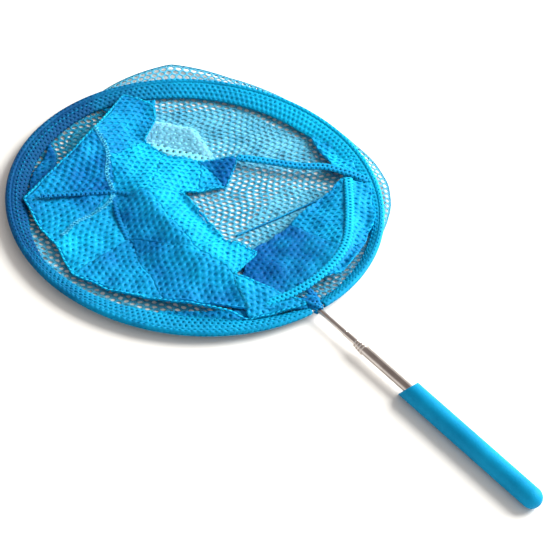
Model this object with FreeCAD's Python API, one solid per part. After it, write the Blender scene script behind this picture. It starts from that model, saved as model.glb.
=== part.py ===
import FreeCAD, Part
import math
import os

from FreeCAD import Vector

# Telescopic hand net, pushed together and lying on a flat surface: a wire hoop with a mesh bag,
# six nested steel tubes and a soft grip. Millimetres, +Z up, +X from the hoop towards the grip.
# The origin is on the surface, at the middle of the net's footprint.

# Hoop and the net's hem
HOOP_R = 102.75           # radius of the wire's centreline
WIRE_D = 1.28
TAIL_BEND_R = 3.0         # bend from the ring into each straight tail
TAIL_IN_TUBE = 12.0       # length of the tails held in the first tube
HEM_SLEEVE_R = 1.75       # outside of the folded hem round the wire
HEM_SLEEVE_GAP = 0.15     # slack between the wire and the hem
HEM_END_ANGLE = 2.2       # the hem stops this many degrees short of the neck, on both sides
SKIRT_INNER_R = 93.5      # lower edge of the doubled hem band
SKIRT_THICKNESS = 0.8
STITCH_R = 0.2            # radius of the sewing thread
STITCH_LIFT = 0.24        # its centre above the hem band
STITCH_RING_R = 95.5
STITCH_END_ANGLE = 4.0

# Bag, lying slack under and inside the hoop
BAG_PLY = 1.2             # several layers of mesh lying on each other
BAG_R = 101.0
LOBE_ANGLES = (172.0, 146.0, 112.0)   # where the slack leaves, peaks and rejoins the round outline
LOBE_R = 116.0
SLACK_WALL_R = 108.6      # slack that stands up just outside the hoop
SLACK_WALL_ANGLES = (122.0, 162.0)
SLACK_WALL_TOP = 13.0
SEAM_W = 3.0
SEAM_H = 0.9
# Radius and angle about the hoop
SEAM_POINTS = ((77, 189), (57, 198), (46, 226), (49, 239), (70, 250), (80, 255))

# Tubes: each slides in the next one
TUBE_COUNT = 6
FIRST_TUBE_D = 3.0
TUBE_STEP_D = 0.5
TUBE_WALL = 0.2
NECK_X = 105.9            # front of the first tube, from the hoop's centre
SECOND_TUBE_X = 124.9
THIRD_TUBE_X = 133.9
LIP_PITCH = 2.0           # from one rolled lip to the next, pushed together
LIP_LENGTH = 1.2
LIP_RISE = 0.6
SECOND_LIP_RISE = 0.12
SEAT_LENGTH = 6.5         # necked rear end that carries the friction springs
SEAT_DEPTH = 0.17
SEAT_FLANGE = 0.6
NECKING_LENGTH = 0.4
REST_GAP = 0.3            # from a tube's rear end to the next tube's necking, pushed together
GUIDE_LENGTH = 10.0       # what stays inside the next tube, in front of the springs, pulled out

# Friction springs: two half-round brass leaves on each seat
SPRING_CLEARANCE = 0.02
SPRING_ARC = 168.0
SPRING_END_GAP = 0.1

# Grip and the plug that closes the last tube
GRIP_D = 11.4
GRIP_FRONT_X = 174.7      # where the sloping front cut crosses the axis
GRIP_CUT_ANGLE = 32.0     # slope of the front cut: the top side is shorter
GRIP_END_X = 272.5
GRIP_END_WALL = 5.0
PLUG_LENGTH = 4.0
PLUG_GAP = 0.5
SEAT_FIT = 0.01           # glued and pressed faces on one body

# Derived
AXIS_Z = GRIP_D / 2
HOOP_OUTER_R = HOOP_R + HEM_SLEEVE_R
HOOP_X = -(GRIP_END_X - HOOP_OUTER_R) / 2
TAIL_Y = FIRST_TUBE_D / 4 - TUBE_WALL / 2
LAST_TUBE_REAR = GRIP_END_X - GRIP_END_WALL
SLIDE_CLEARANCE = TUBE_STEP_D / 2 - TUBE_WALL


def tube_radius(index):
    """Outer radius of tube 1 (the thinnest) to tube TUBE_COUNT."""
    return (FIRST_TUBE_D + TUBE_STEP_D * (index - 1)) / 2


def tube_front(index):
    """Front end of a tube, from the hoop's centre, pushed together."""
    if index == 1:
        return NECK_X
    if index == 2:
        return SECOND_TUBE_X
    return THIRD_TUBE_X + LIP_PITCH * (index - 3)


def tube_rear(index):
    """Rear end of a tube, from the hoop's centre, pushed together."""
    if index == TUBE_COUNT:
        return LAST_TUBE_REAR
    last_moving = LAST_TUBE_REAR - PLUG_LENGTH - PLUG_GAP
    pitch = SEAT_LENGTH + NECKING_LENGTH + REST_GAP
    return last_moving - pitch * (TUBE_COUNT - 1 - index)


def tube_travel(index):
    """How far a tube pulls out of the next one."""
    springs_front = tube_rear(index) - SEAT_LENGTH
    return springs_front - tube_front(index + 1) - GUIDE_LENGTH


def on_axis(x, radius):
    """A point of a profile that is turned about the handle's axis."""
    return Vector(HOOP_X + x, 0, AXIS_Z + radius)


def on_hoop(radius, z):
    """A point of a profile that is turned about the hoop's upright axis."""
    return Vector(HOOP_X + radius, 0, z)


def turn_on_axis(edges):
    """Solid of revolution about the handle's axis."""
    face = Part.Face(Part.Wire(edges))
    return face.revolve(Vector(HOOP_X, 0, AXIS_Z), Vector(1, 0, 0), 360)


def turn_on_hoop(face, end_angle=0.0):
    """Ring about the hoop's upright axis, open by end_angle on each side of the neck."""
    centre = Vector(HOOP_X, 0, 0)
    started = face.copy()
    started.rotate(centre, Vector(0, 0, 1), end_angle)
    return started.revolve(centre, Vector(0, 0, 1), 360 - 2 * end_angle)


def polyline_edges(points):
    return [Part.makeLine(a, b) for a, b in zip(points, points[1:])]


def closed_polygon(points):
    return Part.Face(Part.Wire(polyline_edges(points + points[:1])))


def disc(centre, radius, normal):
    return Part.Face(Part.Wire(Part.makeCircle(radius, centre, normal)))


def at_angle(radius, degrees, z=0.0):
    """A point round the hoop's centre."""
    angle = math.radians(degrees)
    return Vector(HOOP_X + radius * math.cos(angle), radius * math.sin(angle), z)


def make_tube(index):
    """One tube: rolled lip in front, and on all but the last a necked seat for the springs."""
    outer = tube_radius(index)
    inner = outer - TUBE_WALL
    front = tube_front(index)
    rear = tube_rear(index)
    edges = []
    if index == 1:
        nose = on_axis(front, outer)
        edges.append(Part.makeLine(on_axis(front, inner), nose))
        lip_end = nose
    else:
        rise = SECOND_LIP_RISE if index == 2 else LIP_RISE
        nose = on_axis(front, inner + TUBE_WALL / 2)
        lip_end = on_axis(front + LIP_LENGTH, outer)
        crown = on_axis(front + LIP_LENGTH / 2, outer + rise)
        edges.append(Part.makeLine(on_axis(front, inner), nose))
        edges.append(Part.Arc(nose, crown, lip_end).toShape())
    if index == TUBE_COUNT:
        path = [lip_end, on_axis(rear, outer), on_axis(rear, inner)]
    else:
        seat = rear - SEAT_LENGTH
        flange = rear - SEAT_FLANGE
        necked = seat - NECKING_LENGTH
        path = [
            lip_end,
            on_axis(seat, outer),
            on_axis(seat, outer - SEAT_DEPTH),
            on_axis(flange, outer - SEAT_DEPTH),
            on_axis(flange, outer),
            on_axis(rear, outer),
            on_axis(rear, inner - SEAT_DEPTH),
            on_axis(necked, inner - SEAT_DEPTH),
            on_axis(necked, inner),
        ]
    path.append(on_axis(front, inner))
    return turn_on_axis(edges + polyline_edges(path))


def make_spring(index, middle_angle):
    """One half-round friction leaf on a tube's seat, centred on an angle about the axis."""
    inner = tube_radius(index) - SEAT_DEPTH + SPRING_CLEARANCE
    outer = tube_radius(index) + SLIDE_CLEARANCE - SPRING_CLEARANCE
    start = tube_rear(index) - SEAT_LENGTH + SPRING_END_GAP
    end = tube_rear(index) - SEAT_FLANGE - SPRING_END_GAP
    face = closed_polygon([
        on_axis(start, inner),
        on_axis(end, inner),
        on_axis(end, outer),
        on_axis(start, outer),
    ])
    base = Vector(HOOP_X, 0, AXIS_Z)
    face.rotate(base, Vector(1, 0, 0), middle_angle - SPRING_ARC / 2)
    return face.revolve(base, Vector(1, 0, 0), SPRING_ARC)


def make_end_plug():
    radius = tube_radius(TUBE_COUNT) - TUBE_WALL - SEAT_FIT
    base = on_axis(LAST_TUBE_REAR - PLUG_LENGTH, 0)
    return Part.makeCylinder(radius, PLUG_LENGTH, base, Vector(1, 0, 0))


def make_grip():
    """Soft sleeve: blind bore, round closed end, sloping front cut."""
    radius = GRIP_D / 2
    start = GRIP_FRONT_X - GRIP_D
    dome_start = GRIP_END_X - radius
    bore = tube_radius(TUBE_COUNT) + SEAT_FIT
    dome_middle = on_axis(dome_start + radius * math.sqrt(0.5), radius * math.sqrt(0.5))
    dome = Part.Arc(on_axis(dome_start, radius), dome_middle, on_axis(GRIP_END_X, 0)).toShape()
    body = turn_on_axis(
        [dome]
        + polyline_edges([
            on_axis(GRIP_END_X, 0),
            on_axis(LAST_TUBE_REAR, 0),
            on_axis(LAST_TUBE_REAR, bore),
            on_axis(start, bore),
            on_axis(start, radius),
            on_axis(dome_start, radius),
        ])
    )
    corner = Vector(-2 * GRIP_D, -GRIP_D, -2 * GRIP_D)
    cutter = Part.makeBox(2 * GRIP_D, 2 * GRIP_D, 4 * GRIP_D, corner)
    cutter.rotate(Vector(0, 0, 0), Vector(0, 1, 0), GRIP_CUT_ANGLE)
    cutter.translate(on_axis(GRIP_FRONT_X, 0))
    return body.cut(cutter)


def make_hoop_wire():
    """Round ring whose two ends bend outwards side by side into the first tube."""
    centre_distance = HOOP_R + TAIL_BEND_R
    bend_x = math.sqrt(centre_distance ** 2 - (TAIL_Y + TAIL_BEND_R) ** 2)
    bend_angle = math.degrees(math.atan2(TAIL_Y + TAIL_BEND_R, bend_x))
    tail_end_x = NECK_X + TAIL_IN_TUBE
    ring_start = at_angle(HOOP_R, bend_angle, AXIS_Z)
    ring_end = at_angle(HOOP_R, -bend_angle, AXIS_Z)
    ring_far = at_angle(HOOP_R, 180, AXIS_Z)

    def tail(side, ring_point):
        line_point = Vector(HOOP_X + bend_x, side * TAIL_Y, AXIS_Z)
        bend_centre = Vector(HOOP_X + bend_x, side * (TAIL_Y + TAIL_BEND_R), AXIS_Z)
        middle = (ring_point + line_point) * 0.5 - bend_centre
        middle = bend_centre + middle.normalize() * TAIL_BEND_R
        end = Vector(HOOP_X + tail_end_x, side * TAIL_Y, AXIS_Z)
        return Part.makeLine(end, line_point), Part.Arc(line_point, middle, ring_point).toShape()

    line_a, bend_a = tail(1, ring_start)
    line_b, bend_b = tail(-1, ring_end)
    ring = Part.Arc(ring_start, ring_far, ring_end).toShape()
    path = Part.Wire([line_a, bend_a, ring, bend_b, line_b])
    tail_end = Vector(HOOP_X + tail_end_x, TAIL_Y, AXIS_Z)
    section = Part.Wire(Part.makeCircle(WIRE_D / 2, tail_end, Vector(1, 0, 0)))
    return path.makePipeShell([section], True, False)


def skirt_top(radius):
    """Height of the hem band's upper face at a distance from the hoop's centre."""
    outer = HOOP_R - HEM_SLEEVE_R
    low = BAG_PLY + SKIRT_THICKNESS
    high = AXIS_Z
    return low + (high - low) * (radius - SKIRT_INNER_R) / (outer - SKIRT_INNER_R)


def make_net_hem():
    """Mesh folded over the wire: a round sleeve, and the doubled band below it."""
    centre = on_hoop(HOOP_R, AXIS_Z)
    sleeve = turn_on_hoop(disc(centre, HEM_SLEEVE_R, Vector(0, 1, 0)), HEM_END_ANGLE)
    bore = turn_on_hoop(disc(centre, WIRE_D / 2 + HEM_SLEEVE_GAP, Vector(0, 1, 0)), HEM_END_ANGLE)
    outer = HOOP_R - HEM_SLEEVE_R / 2
    band = turn_on_hoop(closed_polygon([
        on_hoop(SKIRT_INNER_R, skirt_top(SKIRT_INNER_R) - SKIRT_THICKNESS),
        on_hoop(SKIRT_INNER_R, skirt_top(SKIRT_INNER_R)),
        on_hoop(outer, skirt_top(outer)),
        on_hoop(outer, skirt_top(outer) - SKIRT_THICKNESS),
    ]), HEM_END_ANGLE)
    return sleeve.fuse(band).cut(bore)


def make_hem_stitch():
    """Thread that sews the hem, lying on its band."""
    centre = on_hoop(STITCH_RING_R, skirt_top(STITCH_RING_R) + STITCH_LIFT)
    return turn_on_hoop(disc(centre, STITCH_R, Vector(0, 1, 0)), STITCH_END_ANGLE)


def make_net_bag():
    """Slack bag: plies lying on the surface, a lobe beyond the hoop and the slack standing on it."""
    floor = Part.makeCylinder(BAG_R, BAG_PLY, Vector(HOOP_X, 0, 0))
    leaves, peaks, rejoins = LOBE_ANGLES
    start = at_angle(BAG_R, leaves)
    end = at_angle(BAG_R, rejoins)
    outline = Part.Arc(start, at_angle(LOBE_R, peaks), end).toShape()
    lobe = Part.Face(Part.Wire([outline, Part.makeLine(end, start)])).extrude(Vector(0, 0, BAG_PLY))
    first, last = SLACK_WALL_ANGLES
    wall_face = closed_polygon([
        on_hoop(SLACK_WALL_R, 0),
        on_hoop(SLACK_WALL_R + BAG_PLY, 0),
        on_hoop(SLACK_WALL_R - BAG_PLY, SLACK_WALL_TOP),
        on_hoop(SLACK_WALL_R - 2 * BAG_PLY, SLACK_WALL_TOP),
    ])
    centre = Vector(HOOP_X, 0, 0)
    wall_face.rotate(centre, Vector(0, 0, 1), first)
    wall = wall_face.revolve(centre, Vector(0, 0, 1), last - first)
    return floor.fuse(lobe).fuse(wall).removeSplitter()


def make_side_seam():
    """Overlocked seam of the bag, a flat rope of thread lying on the plies."""
    path = [at_angle(radius, degrees) for radius, degrees in SEAM_POINTS]
    half = SEAM_W / 2
    strips = []
    for start, end in zip(path, path[1:]):
        along = end - start
        strip = Part.makeBox(along.Length, SEAM_W, SEAM_H, Vector(0, -half, 0))
        strip.rotate(Vector(0, 0, 0), Vector(0, 0, 1), math.degrees(math.atan2(along.y, along.x)))
        strip.translate(start)
        strips.append(strip)
        strips.append(Part.makeCylinder(half, SEAM_H, end))
    seam = strips[0].multiFuse(strips[1:]).removeSplitter()
    seam.translate(Vector(0, 0, BAG_PLY))
    return seam


def all_parts():
    parts = {
        "hoop_wire": make_hoop_wire(),
        "net_hem": make_net_hem(),
        "hem_stitch": make_hem_stitch(),
        "net_bag": make_net_bag(),
        "side_seam": make_side_seam(),
        "end_plug": make_end_plug(),
        "grip": make_grip(),
    }
    for index in range(1, TUBE_COUNT + 1):
        parts[f"tube_{index}"] = make_tube(index)
    for index in range(1, TUBE_COUNT):
        parts[f"spring_{index}_upper"] = make_spring(index, 0)
        parts[f"spring_{index}_lower"] = make_spring(index, 180)
    return parts


os.makedirs("parts", exist_ok=True)
for name, shape in all_parts().items():
    solids = len(shape.Solids)
    print(f"{name}: {solids} solid, valid {shape.isValid()}, {shape.Volume:.1f} mm3")
    shape.exportStep(f"parts/{name}.step")
for index in range(1, TUBE_COUNT):
    print(f"tube_{index} pulls out {tube_travel(index):.1f} mm")
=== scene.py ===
"""Telescopic hand net: the looks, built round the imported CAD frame.

Plan positions of the net are millimetres about the hoop's centre, in the frame's axes.
Heights are millimetres above the surface that the net lies on.
"""

import math

import bmesh
import bpy
import numpy as np
from mathutils import Matrix, Vector


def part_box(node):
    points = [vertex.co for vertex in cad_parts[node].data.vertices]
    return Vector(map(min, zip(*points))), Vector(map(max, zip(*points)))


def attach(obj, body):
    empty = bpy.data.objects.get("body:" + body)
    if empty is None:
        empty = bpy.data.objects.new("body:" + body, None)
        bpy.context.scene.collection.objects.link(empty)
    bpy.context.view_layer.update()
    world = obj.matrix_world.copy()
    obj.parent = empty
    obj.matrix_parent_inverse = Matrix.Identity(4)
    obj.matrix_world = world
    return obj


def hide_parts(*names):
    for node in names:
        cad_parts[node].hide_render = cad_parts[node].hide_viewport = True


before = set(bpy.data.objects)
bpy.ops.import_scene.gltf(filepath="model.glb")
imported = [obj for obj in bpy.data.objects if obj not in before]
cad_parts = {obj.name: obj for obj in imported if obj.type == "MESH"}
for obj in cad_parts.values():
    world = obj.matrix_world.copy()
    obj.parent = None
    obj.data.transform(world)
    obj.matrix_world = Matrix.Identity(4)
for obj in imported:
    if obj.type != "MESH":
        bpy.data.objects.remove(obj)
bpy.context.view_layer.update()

MM = 0.001
HEM_LOW, HEM_HIGH = (np.array(corner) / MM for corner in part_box("net_hem"))
WIRE_LOW, WIRE_HIGH = (np.array(corner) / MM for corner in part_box("hoop_wire"))
HEM_R = (HEM_HIGH[1] - HEM_LOW[1]) / 2
HOOP_X = HEM_LOW[0] + HEM_R
WIRE_Z = (WIRE_LOW[2] + WIRE_HIGH[2]) / 2
SLEEVE_R = HEM_HIGH[2] - WIRE_Z
HOOP_R = HEM_R - SLEEVE_R

# The knitted mesh: holes along columns, each column half a hole out of step with the next
HOLE_PITCH = 3.7
COLUMN_PITCH = 3.65
THREAD = 1.5              # width of the knitted strand between two holes
SECOND_THREAD = 2.3       # the same in the ply below, which its folds have drawn together
BACKING_THREAD = 3.0      # and in the ply below that
ROWS = (1.1, 2.25)        # where the slope stretches the holes along their columns
CLOSED = 2.5              # and in a top ply that lies over several others
PLY_THICKNESS = 0.32
LOOSE_THICKNESS = 0.2

# Stacking heights of the plies
FLOOR_Z = 0.45
UNDER_Z = 1.5
TOP_Z_MIN = 2.3
PLY_DROP = 0.42           # from one ply of a fold to the next

# Creases and fold edges of the slack bag: plan position, height and painted shade, lighter on faces turned
# to the light and darker in hollows
PILE = {
    "left_corner": (-55, -76, 6, 0.60),
    "kite_top": (-75, -13, 12, 0.60),
    "node": (-32, -33, 5, 0.30),
    "seam_bend": (-54, -18, 9, 0.40),
    "apex": (-93, 22, 7, 0.45),
    "shoulder": (-76, 29, 8, 0.60),
    "shoulder_foot": (-66, 23, 6, 0.75),
    "window_left": (-56, 7, 5, 0.90),
    "window_low": (-41, 10, 4, 0.95),
    "pocket_left": (-26, 23, 4, 0.70),
    "pocket_far": (-15, 42, 7, 0.10),
    "pocket_tip": (-2, 23, 3, 0.30),
    "window_near": (-7, 9, 4, 0.80),
    "band_root": (-11, -3, 6, 0.90),
    "band_back": (-19, -20, 12, 0.55),
    "band_near": (33, -27, 13, 0.85),
    "band_edge": (35, -9, 7, 0.95),
    "band_end_far": (52, 0, 7, 0.80),
    "band_end_near": (60, -23, 11, 0.75),
    "valley": (2, -49, 4, 0.30),
    "near_left": (-33, -81, 3, 0.75),
    "near_seam": (-18, -82, 4, 0.95),
    "near_middle": (5, -88, 3, 0.65),
    "near_right": (26, -80, 4, 0.50),
    "near_fold": (50, -62, 5, 0.45),
    "neck_fold": (83, -30, 5, 0.50),
    "neck_gather": (86, -8, 6, 0.55),
    "neck_tip": (98, -4, 7, 0.25),
    "neck_rim": (88, -34, 5, 0.45),
}
# Folds on the right: plan position, height and painted shade
RIGHT_PILE = {
    "tuck_near": (58, -16, 2, 0.00),
    "tuck_far": (46, 2, 2, 0.10),
    "dip": (43, 32, 3, 0.45),
    "dip_far": (36, 66, 5, 0.60),
    "ridge_far": (34, 79, 8, 0.60),
    "ridge_near": (80, 39, 12, 0.70),
    "ridge_neck": (89, 15, 9, 0.60),
    "neck": (88, -3, 7, 0.75),
    "neck_side": (85, -21, 5, 0.60),
    "rim_far": (46, 88, 7, 0.55),
    "rim_bend": (64, 75, 6, 0.50),
    "rim_middle": (80, 56, 6, 0.45),
    "rim_near": (90, 28, 5, 0.35),
    "fold_far": (42, 86, 6, 0.70),
    "fold_bend": (21, 81, 7, 0.60),
    "rim_top": (20, 95, 4, 0.60),
    "window_top": (-14, 91, 3, 0.45),
    "window_rim": (-12, 96, 4, 0.45),
}
# Folds flat on the bag's floor: plan position, height and painted shade
FLOOR_FOLDS = {
    "left_rim_low": (-62, -70, 3, 0.10),
    "left_rim_middle": (-88, -34, 3, 0.10),
    "left_inner_middle": (-70, -43, 2, 0.05),
    "left_inner_low": (-56, -62, 2, 0.10),
    "top_rim_near": (-93, 8, 3, 0.30),
    "top_rim_far": (-84, 38, 3, 0.40),
    "top_inner_far": (-74, 30, 2, 0.40),
    "top_inner_near": (-80, 8, 2, 0.30),
    "near_start": (46, -66, 3, 0.40),
    "near_inner": (80, -32, 4, 0.30),
    "near_neck": (93, -14, 4, 0.20),
    "near_rim": (90, -36, 3, 0.40),
    "near_rim_low": (72, -63, 3, 0.45),
    "near_rim_left": (54, -77, 2, 0.45),
}
# Pale single plies that lie loose under and on the bag's floor: plan position, height and painted shade
HAZE = {
    "far_left": (-58, 9, 0.12, 0.5),
    "far_top": (-76, 32, 0.12, 0.5),
    "far_rim": (-54, 72, 0.12, 0.5),
    "far_end": (-8, 88, 0.12, 0.5),
    "far_right": (18, 79, 0.12, 0.5),
    "far_low": (-12, 44, 0.12, 0.5),
    "mid_far": (36, 74, 0.12, 0.3),
    "mid_left": (14, 52, 0.12, 0.65),
    "mid_near": (28, 12, 0.12, 0.65),
    "mid_tuck": (48, 2, 0.12, 0.3),
    "mid_right": (51, 32, 0.12, 0.0),
    "left_a": (-92, -14, 0.12, 0.0),
    "left_b": (-68, -42, 0.12, 0.0),
    "left_c": (-68, -14, 0.12, 0.0),
    "left_d": (-84, 6, 0.12, 0.0),
    "sheer_left": (-70, 24, 4.5, 0.75),
    "sheer_foot": (-57, 6, 3.5, 0.75),
    "sheer_near": (-27, 22, 2.5, 0.7),
    "sheer_far": (-24, 33, 1.8, 0.6),
    "sheer_back": (-52, 40, 1.8, 0.6),
}
# Flat stretches of the folded bag: columns' direction in degrees, their bow, painted shade (lighter or
# darker by how each faces the light), thread and corners
PILE_TILES = {
    "kite_far": (130, 0.006, -0.25, (1.3, 2.3), ("left_corner", "node", "seam_bend", "kite_top")),
    "kite_near": (32, 0.004, -0.15, CLOSED, ("left_corner", "near_left", "near_seam", "node")),
    "top_fold": (52, -0.014, -0.17, (0.9, 2.6), (
        "kite_top", "apex", "shoulder", "shoulder_foot", "window_left", "seam_bend")),
    "bright_rows": (50, 0.003, 0.25, ROWS, ("seam_bend", "window_left", "window_low", "band_back", "node")),
    "row_ends": (50, 0.003, 0.2, ROWS, (
        "window_low", "pocket_left", "window_near", "band_root", "band_back")),
    "pocket_side": (50, 0.003, 0.1, ROWS, ("pocket_left", "pocket_tip", "window_near")),
    "pocket": (100, 0.0, -0.35, 2.2, ("pocket_left", "pocket_far", "pocket_tip")),
    "band": (8, 0.003, 0.15, 2.0, ("band_back", "band_root", "band_edge", "band_near")),
    "band_end": (12, 0.0, 0.1, 2.0, ("band_near", "band_edge", "band_end_far", "band_end_near")),
    "middle": (35, -0.004, -0.1, CLOSED, ("node", "band_back", "band_near", "valley")),
    "lower_right": (38, 0.003, -0.1, CLOSED, (
        "band_near", "band_end_near", "neck_fold", "near_fold", "valley")),
    "lower_left": (20, 0.004, 0.2, 2.3, ("node", "valley", "near_middle", "near_seam")),
    "near_edge": (44, 0.0, 0.0, CLOSED, ("valley", "near_fold", "near_right", "near_middle")),
    "neck_fill": (80, 0.0, 0.0, CLOSED, ("band_end_near", "neck_gather", "neck_tip", "neck_rim")),
}
RIGHT_TILES = {
    "deep_fold": (50, 0.003, -0.3, (2.9, 3.2), (
        "tuck_near", "tuck_far", "dip", "ridge_near", "ridge_neck", "neck", "neck_side")),
    "right_slope": (50, 0.003, -0.05, (1.5, 2.4), ("dip", "dip_far", "ridge_far", "ridge_near")),
    "rim_slope": (130, 0.003, 0.0, 2.3, ("ridge_far", "rim_far", "rim_bend", "rim_middle", "ridge_near")),
    "rim_neck_slope": (110, 0.0, -0.1, 2.3, ("ridge_near", "rim_middle", "rim_near", "ridge_neck")),
    "far_slope": (128, 0.004, 0.1, 1.9, ("window_top", "window_rim", "rim_top", "fold_far", "fold_bend")),
}
FLOOR_TILES = {
    "left_low": (150, 0.0, 0.0, CLOSED, (
        "left_rim_low", "left_rim_middle", "left_inner_middle", "left_inner_low")),
    "top_left": (60, 0.0, 0.0, CLOSED, ("top_rim_near", "top_rim_far", "top_inner_far", "top_inner_near")),
    "near_neck": (70, 0.0, 0.0, 1.8, (
        "near_start", "near_inner", "near_neck", "near_rim", "near_rim_low", "near_rim_left")),
}
HAZE_TILES = {
    "far": (136, 0.004, 0.0, 2.7, ("far_left", "far_top", "far_rim", "far_end", "far_right", "far_low")),
    "middle": (128, 0.0, 0.0, 2.3, ("mid_far", "mid_left", "mid_near", "mid_tuck", "mid_right")),
    "left": (134, 0.0, 0.0, 2.6, ("left_a", "left_b", "left_c", "left_d")),
    "sheer": (50, 0.0, 0.1, 2.5, ("sheer_left", "sheer_foot", "sheer_near", "sheer_far", "sheer_back")),
}
PILE_EDGES = (
    ("left_corner", "kite_top"),
    ("kite_top", "apex", "shoulder", "shoulder_foot", "window_left", "window_low", "pocket_left"),
    ("pocket_left", "pocket_far", "pocket_tip", "window_near", "band_root"),
    ("band_end_near", "neck_gather", "neck_tip"),
    ("band_root", "band_edge", "band_end_far", "band_end_near"),
    ("neck_tip", "neck_rim", "near_fold", "near_right", "near_middle", "near_seam", "near_left",
     "left_corner"),
)
SEAM = ((-75, -13), (-58, -17), (-44, -28), (-32, -33), (-26, -42), (-24, -64), (-21, -76))
# Flat bands where the fabric doubles back on itself: width, painted shade and points; creases are painted
# dark and the ridge light
BANDS = {
    "across": (5.2, 0.5, (
        (-15, 42, 6.5), (-6, 51, 6.5), (11, 66, 7), (20, 77, 7.5), (34, 86, 7.5), (42, 90, 7))),
    "right_ridge": (5.0, 0.9, (
        (36, 80, 9), (60, 60, 11), (79, 40, 12.5), (87, 18, 11), (88, -3, 8.5), (84, -20, 6.5))),
    "window_crease": (0.9, 0.35, ((36, 72, 1.6), (34, 50, 1.8), (33, 30, 1.8), (31, 4, 1.6))),
    "left_crease": (3.4, 0.2, ((-50, -69, 8.8), (-41, -50, 7.2), (-32, -33, 6.2), (-22, -27, 8.5))),
    "middle_crease": (3.2, 0.2, ((-31, -34, 6), (-16, -42, 5.2), (2, -49, 5))),
    "neck_a": (4.0, 0.15, ((80, -16, 6.5), (89, -8, 7), (98, -2, 7.5))),
    "neck_b": (3.5, 0.3, ((84, -26, 6), (92, -14, 6.5), (99, -4, 7))),
    "neck_c": (3.5, 0.15, ((84, 3, 8.5), (92, 4, 7.8), (99, 3, 7))),
}


def rotated(points, degrees):
    angle = math.radians(degrees)
    c, s = math.cos(angle), math.sin(angle)
    return np.column_stack([points[:, 0] * c - points[:, 1] * s, points[:, 0] * s + points[:, 1] * c])


def to_metres(points):
    out = np.array(points, float)
    out[:, 0] += HOOP_X
    return out * MM


# ---- the knitted lattice -------------------------------------------------------------------

def lattice(width, height, pitch=HOLE_PITCH, row=COLUMN_PITCH, thread=THREAD):
    """Flat sheet of staggered six-sided holes from (0, 0) to about (width, height).

    thread is the strand's width, or its widths along and across the columns.
    """
    columns = max(1, round(width / pitch))
    rows = max(1, round(height / row))
    pitch, row = width / columns, height / rows
    side, point = row * 0.55, row * 1.45
    outer = np.array([(0.5, 0.5), (0, 1), (-0.5, 0.5), (-0.5, -0.5), (0, -1), (0.5, -0.5)])
    outer = outer * np.array([pitch, side])
    outer[[1, 4], 1] *= point / 2 / side
    along, across = np.broadcast_to(thread, 2)
    inner = outer * np.array([1 - along / pitch, 1 - across / (row * 1.08)])
    centres = []
    for j in range(rows + 1):
        for i in range(columns + 1):
            centres.append(((i + 0.5 * (j % 2)) * pitch, j * row))
    centres = np.array(centres)
    points = (centres[:, None, :] + np.concatenate([outer, inner])[None]).reshape(-1, 2)
    base = np.arange(len(centres))[:, None] * 12
    quads = []
    for k in range(6):
        n = (k + 1) % 6
        quads.append(np.hstack([base + k, base + n, base + 6 + n, base + 6 + k]))
    quads = np.concatenate(quads)
    keys, first, inverse = np.unique(
        np.round(points * 1000).astype(np.int64), axis=0, return_index=True, return_inverse=True)
    return points[first], inverse.reshape(-1)[quads]


def clip_convex(points, quads, corners):
    """The lattice inside a convex outline given clockwise or anticlockwise."""
    bm = bmesh.new()
    verts = [bm.verts.new((x, y, 0)) for x, y in points]
    for quad in quads:
        bm.faces.new([verts[k] for k in quad])
    middle = np.mean(corners, axis=0)
    for a, b in zip(corners, np.roll(corners, -1, axis=0)):
        normal = np.array([b[1] - a[1], a[0] - b[0]])
        if np.dot(normal, middle - a) > 0:
            normal = -normal
        bmesh.ops.bisect_plane(
            bm, geom=bm.verts[:] + bm.edges[:] + bm.faces[:], dist=1e-4,
            plane_co=(a[0], a[1], 0), plane_no=(normal[0], normal[1], 0), clear_outer=True)
    loose = [v for v in bm.verts if not v.link_faces]
    bmesh.ops.delete(bm, geom=loose, context="VERTS")
    bm.verts.index_update()
    out = np.array([v.co[:2] for v in bm.verts]).reshape(-1, 2)
    faces = [[v.index for v in f.verts] for f in bm.faces]
    bm.free()
    return out, faces


# ---- heights of the pile ---------------------------------------------------------------------

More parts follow.
